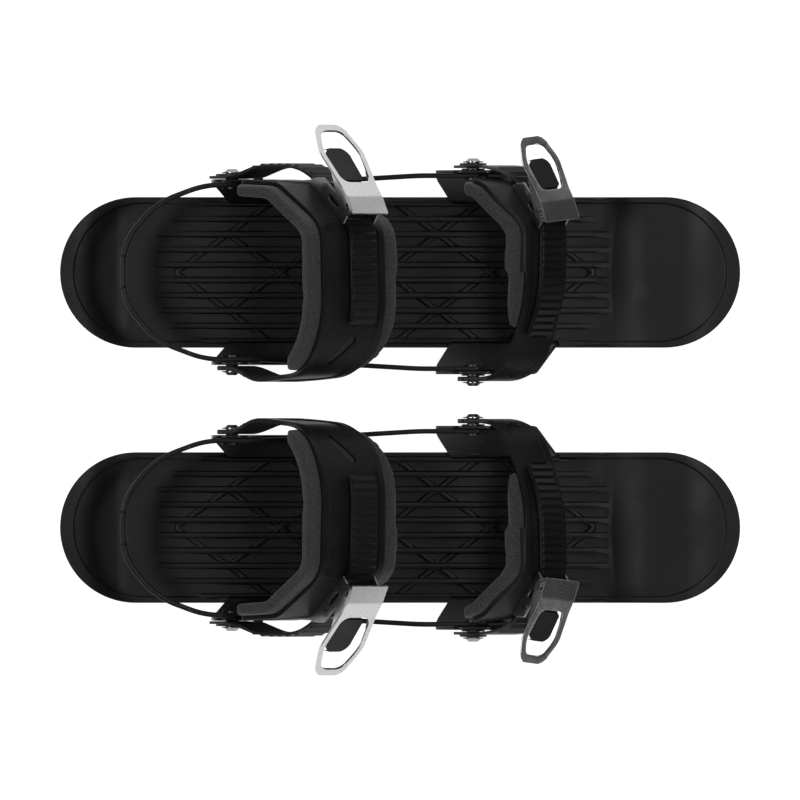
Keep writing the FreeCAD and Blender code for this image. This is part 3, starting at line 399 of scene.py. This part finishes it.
@dataclass(frozen=True)
class Foam(Finish):
    """Closed-cell foam with pale specks and small pits."""

    speck: tuple[float, float, float] = (0.2, 0.2, 0.21)
    cell: float = 1100.0

    def build(self) -> bpy.types.Material:
        """Builds the material.

        Returns:
            The finished material.
        """
        material, tree, shader = self.start()
        shader.inputs["Sheen Weight"].default_value = 0.25
        shader.inputs["Sheen Roughness"].default_value = 0.5
        place = tree.nodes.new("ShaderNodeTexCoord")
        cells = tree.nodes.new("ShaderNodeTexVoronoi")
        cells.inputs["Scale"].default_value = self.cell
        tree.links.new(place.outputs["Object"], cells.inputs["Vector"])
        cloud = noise(tree, place.outputs["Object"], self.cell * 1.1, 2.0)
        specks = ramp(tree, cloud.outputs["Fac"], 0.5, 0.68)
        darker = tuple(0.6 * channel for channel in self.colour)
        pitted = self.mix_colour(tree, cells.outputs["Distance"], self.colour, darker)
        tree.links.new(self.mix_colour(tree, specks.outputs["Result"], pitted, self.speck),
                       shader.inputs["Base Color"])
        bump = tree.nodes.new("ShaderNodeBump")
        bump.inputs["Strength"].default_value = 0.5
        bump.inputs["Distance"].default_value = 0.3 * MM
        tree.links.new(cells.outputs["Distance"], bump.inputs["Height"])
        tree.links.new(bump.outputs["Normal"], shader.inputs["Normal"])
        return material


DECK_BLACK = Footbed("deck_black", (0.011, 0.011, 0.012), 0.44, grain_depth=0.3, scuff=0.2, gloss=0.36)
STRAP_BLACK = Moulded("strap_black", (0.017, 0.017, 0.018), 0.38, grain_depth=0.22, scuff=0.2)
LADDER_BLACK = Moulded("ladder_black", (0.014, 0.014, 0.015), 0.36, grain_depth=0.2, scuff=0.2)
LOOP_BLACK = Moulded("loop_black", (0.015, 0.015, 0.016), 0.4, grain_depth=0.25, scuff=0.3)
PADDLE_BLACK = Moulded("paddle_black", (0.012, 0.012, 0.013), 0.5, grain_depth=0.4, scuff=0.1)
COATED_BLACK = Moulded("coated_black", (0.014, 0.014, 0.014), 0.35, grain_scale=900.0, grain_depth=0.3,
                       scuff=0.5, rubbed=(0.3, 0.3, 0.3), coat=0.3)
BASE_BLACK = Moulded("base_black", (0.01, 0.01, 0.011), 0.22, grain_scale=600.0, grain_depth=0.1, scuff=0.6)
EDGE_STEEL = Metal("edge_steel", (0.10, 0.10, 0.105), 0.35)
LEVER_STEEL = Metal("lever_steel", (0.8, 0.8, 0.81), 0.24, line_depth=0.03)
BUCKLE_STEEL = Metal("buckle_steel", (0.42, 0.42, 0.43), 0.34, line_depth=0.2)
BOLT_STEEL = Metal("bolt_steel", (0.42, 0.42, 0.43), 0.26, brushed_along=(400.0, 400.0, 400.0))
DARK_STEEL = Metal("dark_steel", (0.07, 0.07, 0.073), 0.36)
PAD_FOAM = Foam("pad_foam", (0.05, 0.05, 0.052), 0.92, speck=(0.12, 0.12, 0.125), cell=1500.0)

FINISHES: dict[str, Finish] = {
    "deck": DECK_BLACK, "running_base": BASE_BLACK, "steel_edge": EDGE_STEEL,
    "front_bracket": COATED_BLACK, "rear_bracket": COATED_BLACK, "heel_loop": LOOP_BLACK,
    "base_screws": DARK_STEEL, "pivot_nuts": DARK_STEEL, "pivot_washers": DARK_STEEL,
    "pivot_bolts": BOLT_STEEL, "shell": STRAP_BLACK, "pad": PAD_FOAM,
    "ladder": LADDER_BLACK, "buckle_base": BUCKLE_STEEL, "lever": LEVER_STEEL, "lever_pin": BOLT_STEEL,
    "pawl": PADDLE_BLACK, "pawl_pin": BOLT_STEEL, "pawl_spring": BOLT_STEEL, "rivets": DARK_STEEL,
}
BODY_OF = {node: body for body, nodes in frame["record"]["behaviour"]["bodies"].items() for node in nodes}
MADE: dict[str, bpy.types.Material] = {}


def material_of(node: str) -> bpy.types.Material:
    """Finds the material of a node's finish, and builds it the first time.

    Args:
        node: The node's full name.

    Returns:
        The material.
    """
    ending = max((key for key in FINISHES if node.endswith("_" + key)), key=len)
    finish = FINISHES[ending]
    if finish.name not in MADE:
        MADE[finish.name] = finish.build()
    return MADE[finish.name]


# ---------------------------------------------------------------- shaping


def merged_copy(node: str) -> bmesh.types.BMesh:
    """Copies a node's mesh with its doubles merged.

    Args:
        node: The node's name.

    Returns:
        A new bmesh, closed and with its faces outward.
    """
    shape = bmesh.new()
    shape.from_mesh(frame["nodes"][node].data)
    bmesh.ops.remove_doubles(shape, verts=shape.verts, dist=MERGE_DISTANCE)
    return shape


def round_edges(shape: bmesh.types.BMesh, width: float, segments: int = 2) -> bmesh.types.BMesh:
    """Rounds the sharp edges of a copy of a shape, by less where a narrow place doesn't take the width.

    Args:
        shape: The shape with sharp edges, which stays as it is.
        width: How far the rounding reaches from an edge.
        segments: How many faces cross the rounding.

    Returns:
        The rounded copy, or a plain copy where no width fits.
    """
    before = shape.calc_volume()
    for share in ROUNDING_SHARES:
        rounded = shape.copy()
        reach = width * share
        edges = [edge for edge in rounded.edges if len(edge.link_faces) == 2
                 and edge.calc_face_angle(0.0) > math.radians(SHARP_DEGREES)
                 and edge.calc_length() > LEAST_EDGE_IN_ROUNDINGS * reach]
        bmesh.ops.bevel(rounded, geom=edges, offset=reach, offset_type="OFFSET", segments=segments,
                        profile=0.5, affect="EDGES", clamp_overlap=False, material=-1)
        open_edges = sum(1 for edge in rounded.edges if len(edge.link_faces) != 2)
        if open_edges == 0 and LEAST_VOLUME_KEPT * before < rounded.calc_volume() < MOST_VOLUME_KEPT * before:
            return rounded
        rounded.free()
    return shape.copy()


def smooth_shaded(shape: bmesh.types.BMesh, crease: float = 28.0) -> None:
    """Shades a shape smoothly between its creases.

    Args:
        shape: The shape to shade.
        crease: The angle in degrees past which an edge stays sharp.
    """
    for face in shape.faces:
        face.smooth = True
    for edge in shape.edges:
        edge.smooth = len(edge.link_faces) == 2 and edge.calc_face_angle(0.0) < math.radians(crease)


def islands(mesh: bpy.types.Mesh) -> list[list[Vector]]:
    """Groups a mesh's points by the solid that they are on.

    Args:
        mesh: The mesh of one or more solids.

    Returns:
        Each solid's points, in order of Y.
    """
    shape = bmesh.new()
    shape.from_mesh(mesh)
    bmesh.ops.remove_doubles(shape, verts=shape.verts, dist=MERGE_DISTANCE)
    left = set(shape.verts)
    groups = []
    while left:
        reached = [left.pop()]
        group = []
        while reached:
            vert = reached.pop()
            group.append(vert.co.copy())
            near = {edge.other_vert(vert) for edge in vert.link_edges} & left
            left -= near
            reached.extend(near)
        groups.append(group)
    shape.free()
    return sorted(groups, key=lambda group: sum(point.y for point in group) / len(group))


# ---------------------------------------------------------------- sub-assemblies


@dataclass
class SubAssembly:
    """Pieces whose names start alike, and the steps that turn their nodes into finished pieces."""

    prefix: str

    def node(self, ending: str) -> str:
        """A node's full name."""
        return f"{self.prefix}_{ending}"

    def keep(self, *endings: str) -> None:
        """Gives the finishes to nodes whose own meshes show.

        Args:
            endings: The nodes' names after the prefix.
        """
        for ending in endings:
            node = self.node(ending)
            materials = frame["nodes"][node].data.materials
            materials.clear()
            materials.append(material_of(node))
            log.info("%s: kept", node)

    def stand_for(self, mesh: bpy.types.Mesh, ending: str) -> bpy.types.Object:
        """Puts a finished mesh in the place of a node, on the node's body.

        Args:
            mesh: The finished mesh, in its place.
            ending: The node that it stands for.

        Returns:
            The new piece.
        """
        node = self.node(ending)
        piece = bpy.data.objects.new(node + "_finished", mesh)
        bpy.context.collection.objects.link(piece)
        mesh.materials.clear()
        mesh.materials.append(material_of(node))
        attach(piece, BODY_OF[node])
        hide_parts(node)
        log.info("%s: %d faces", node, len(mesh.polygons))
        return piece

    def soften(self, ending: str, width: float, segments: int = 2) -> bpy.types.Object:
        """Replaces a node with a copy whose sharp edges are rounded.

        Args:
            ending: The node to replace.
            width: How far the rounding reaches from each edge.
            segments: How many faces cross the rounding.

        Returns:
            The new piece.
        """
        source = merged_copy(self.node(ending))
        rounded = round_edges(source, width, segments)
        smooth_shaded(rounded)
        mesh = bpy.data.meshes.new(self.node(ending) + "_finished")
        rounded.to_mesh(mesh)
        rounded.free()
        source.free()
        piece = self.stand_for(mesh, ending)
        even = piece.modifiers.new("even_shading", "WEIGHTED_NORMAL")
        even.keep_sharp = True
        return piece


@dataclass
class Board(SubAssembly):
    """One board with its running base, edge, brackets, heel loop and bolts."""

    deck_edge: float = 0.7 * MM
    sheet_edge: float = 0.4 * MM
    loop_edge: float = 0.9 * MM
    bolt_edge: float = 0.8 * MM

    def build(self) -> None:
        """Finishes every piece of the board."""
        self.keep("running_base", "steel_edge", "base_screws", "pivot_nuts", "pivot_washers")
        self.soften("deck", self.deck_edge)
        self.soften("front_bracket", self.sheet_edge)
        self.soften("rear_bracket", self.sheet_edge)
        self.soften("heel_loop", self.loop_edge)
        self.soften("pivot_bolts", self.bolt_edge, 4)


@dataclass
class Strap(SubAssembly):
    """One strap: its shell, foam pad, toothed ladder and rivets."""

    shell_edge: float = 0.6 * MM
    ladder_edge: float = 0.3 * MM
    rivet_edge: float = 0.3 * MM
    foam_cell: float = 1.5 * MM
    foam_passes: int = 6

    def build(self) -> None:
        """Finishes every piece of the strap."""
        self.soften("shell", self.shell_edge)
        self.soften("ladder", self.ladder_edge, 1)
        self.soften("rivets", self.rivet_edge)
        self.build_pad()

    def build_pad(self) -> bpy.types.Object:
        """Rounds the foam pad all over, as a moulded foam edge is.

        Returns:
            The new piece.
        """
        node = self.node("pad")
        source = merged_copy(node)
        mesh = bpy.data.meshes.new(node + "_finished")
        source.to_mesh(mesh)
        source.free()
        piece = self.stand_for(mesh, "pad")
        remesh = piece.modifiers.new("foam", "REMESH")
        remesh.mode = "VOXEL"
        remesh.voxel_size = self.foam_cell
        graph = bpy.context.evaluated_depsgraph_get()
        rounded = bpy.data.meshes.new_from_object(piece.evaluated_get(graph))
        piece.modifiers.clear()
        shape = bmesh.new()
        shape.from_mesh(rounded)
        for _ in range(self.foam_passes):
            bmesh.ops.smooth_vert(shape, verts=shape.verts, factor=0.5, use_axis_x=True, use_axis_y=True,
                                  use_axis_z=True)
        smooth_shaded(shape, 180.0)
        shape.to_mesh(mesh)
        shape.free()
        mesh.materials.clear()
        mesh.materials.append(material_of(node))
        return piece


@dataclass
class Buckle(SubAssembly):
    """One ratchet buckle: its channel, lever, catch, pins and springs."""

    sheet_edge: float = 0.35 * MM
    wire_radius: float = 0.28 * MM
    wire_sides: int = 8
    turns: float = 4.5
    steps_per_turn: int = 24

    def build(self) -> None:
        """Finishes every piece of the buckle."""
        self.keep("lever_pin", "pawl_pin")
        self.soften("buckle_base", self.sheet_edge)
        self.soften("lever", self.sheet_edge)
        self.soften("pawl", self.sheet_edge)
        self.build_springs()

    def build_springs(self) -> bpy.types.Object:
        """Winds the two coils that close the catch, each where its plain tube is.

        Returns:
            The new piece, which holds both coils.
        """
        node = self.node("pawl_spring")
        joint = next(row for row in frame["joints"] if row["name"] == self.node("pawl_hinge"))
        axis = Vector(joint["axis"]).normalized()
        coils = bmesh.new()
        for points in islands(frame["nodes"][node].data):
            self.add_coil(coils, points, axis)
        bmesh.ops.recalc_face_normals(coils, faces=coils.faces)
        smooth_shaded(coils, 60.0)
        mesh = bpy.data.meshes.new(node + "_finished")
        coils.to_mesh(mesh)
        coils.free()
        return self.stand_for(mesh, "pawl_spring")

    def add_coil(self, coils: bmesh.types.BMesh, points: list[Vector], axis: Vector) -> None:
        """Adds one coil that fills the space of a tube.

        Args:
            coils: The bmesh that takes the coil.
            points: The tube's points.
            axis: The tube's direction.
        """
        along = [point.dot(axis) for point in points]
        low, high = min(along), max(along)
        centre = sum(points, Vector()) / len(points)
        centre += ((low + high) / 2 - centre.dot(axis)) * axis
        outer = max((point - centre - (point - centre).dot(axis) * axis).length for point in points)
        out = axis.orthogonal().normalized()
        room = high - low - 2 * self.wire_radius
        place = Matrix.Translation(centre - room / 2 * axis + (outer - self.wire_radius) * out)
        face_along = out.cross(axis).to_track_quat("Z", "Y").to_matrix().to_4x4()
        ring = bmesh.ops.create_circle(coils, cap_ends=True, segments=self.wire_sides,
                                       radius=self.wire_radius, matrix=place @ face_along)
        start = {face for vert in ring["verts"] for face in vert.link_faces}
        steps = int(self.turns * self.steps_per_turn)
        bmesh.ops.spin(coils, geom=list(start), cent=centre, axis=axis, dvec=room / steps * axis,
                       angle=math.tau * self.turns, steps=steps, use_duplicate=False)


@dataclass
class Skate:
    """One skate: the board and its two strap bindings."""

    side: Side
    straps: tuple[StrapKind, ...] = (StrapKind.ANKLE, StrapKind.TOE)

    def build(self) -> None:
        """Builds every sub-assembly of the skate."""
        Board(self.side.value).build()
        for kind in self.straps:
            prefix = f"{self.side.value}_{kind.value}"
            Strap(prefix).build()
            Buckle(prefix).build()


@dataclass
class Studio:
    """A pale floor, soft lights and a camera that looks straight down."""

    floor_half: float = 6.0
    floor_colour: tuple[float, float, float] = (0.8, 0.8, 0.8)
    floor_glow: float = 0.95
    floor_bounce: float = 0.5
    camera_up: float = 20.0
    view_across: float = 0.5184
    sensor: float = 36.0
    sky_overhead: float = 0.13
    sky_low: float = 0.9

    def build(self) -> None:
        """Sets the whole studio."""
        self.build_floor()
        self.build_world()
        self.build_lights()
        self.build_camera()

    def build_floor(self) -> None:
        """Lays the floor just under the skates."""
        shape = bmesh.new()
        bmesh.ops.create_grid(shape, x_segments=1, y_segments=1, size=self.floor_half)
        bmesh.ops.translate(shape, verts=shape.verts, vec=(0.0, 0.0, CAD_BOX[0][2] - 0.1 * MM))
        mesh = bpy.data.meshes.new("floor")
        shape.to_mesh(mesh)
        shape.free()
        floor = bpy.data.objects.new("floor", mesh)
        bpy.context.collection.objects.link(floor)
        material = bpy.data.materials.new("floor_paint")
        material.use_nodes = True
        tree = material.node_tree
        shader = tree.nodes["Principled BSDF"]
        shader.inputs["Base Color"].default_value = (*self.floor_colour, 1.0)
        shader.inputs["Roughness"].default_value = 0.9
        shader.inputs["Emission Color"].default_value = (1.0, 1.0, 1.0, 1.0)
        seen = Finish.spread(tree, tree.nodes.new("ShaderNodeLightPath").outputs["Is Camera Ray"],
                             self.floor_bounce, self.floor_glow)
        tree.links.new(seen, shader.inputs["Emission Strength"])
        mesh.materials.append(material)

    def build_world(self) -> None:
        """Makes a room that is dim overhead and bright towards its walls."""
        world = bpy.data.worlds.new("soft_room")
        world.use_nodes = True
        tree = world.node_tree
        place = tree.nodes.new("ShaderNodeTexCoord")
        split = tree.nodes.new("ShaderNodeSeparateXYZ")
        tree.links.new(place.outputs["Generated"], split.inputs["Vector"])
        height = ramp(tree, split.outputs["Z"], 0.1, 0.85)
        height.inputs["To Min"].default_value = self.sky_low
        height.inputs["To Max"].default_value = self.sky_overhead
        tree.links.new(height.outputs["Result"], tree.nodes["Background"].inputs["Strength"])
        bpy.context.scene.world = world

    def build_lights(self) -> None:
        """Hangs the soft boxes beyond the toes, behind the heels and to each side."""
        boxes = (("toe_side", (0.45, 0.1, 1.5), 0.35, 3.0), ("heel_side", (-0.75, 0.1, 1.5), 0.35, 4.0),
                 ("left_side", (0.1, 1.5, 0.6), 0.9, 6.0), ("right_side", (0.1, -1.5, 0.6), 0.9, 6.0))
        for name, place, size, power in boxes:
            light = bpy.data.lights.new(name, "AREA")
            light.shape = "SQUARE"
            light.size = size
            light.energy = power
            lamp = bpy.data.objects.new(name, light)
            bpy.context.collection.objects.link(lamp)
            lamp.location = place
            lamp.rotation_euler = Vector(place).to_track_quat("Z", "Y").to_euler()

    def build_camera(self) -> None:
        """Hangs the camera high above the middle of the pair."""
        camera = bpy.data.cameras.new("overhead_camera")
        camera.sensor_width = self.sensor
        camera.lens = self.sensor * self.camera_up / self.view_across
        camera.clip_end = 100.0
        holder = bpy.data.objects.new("overhead_camera", camera)
        bpy.context.collection.objects.link(holder)
        holder.location = (0.0, 0.0, self.camera_up)
        bpy.context.scene.camera = holder
        bpy.context.scene.view_settings.view_transform = "Standard"


def main() -> None:
    """Builds the pair of skates and the studio round it."""
    for side in Side:
        Skate(side).build()
    Studio().build()


if __name__ == "__main__":
    main()
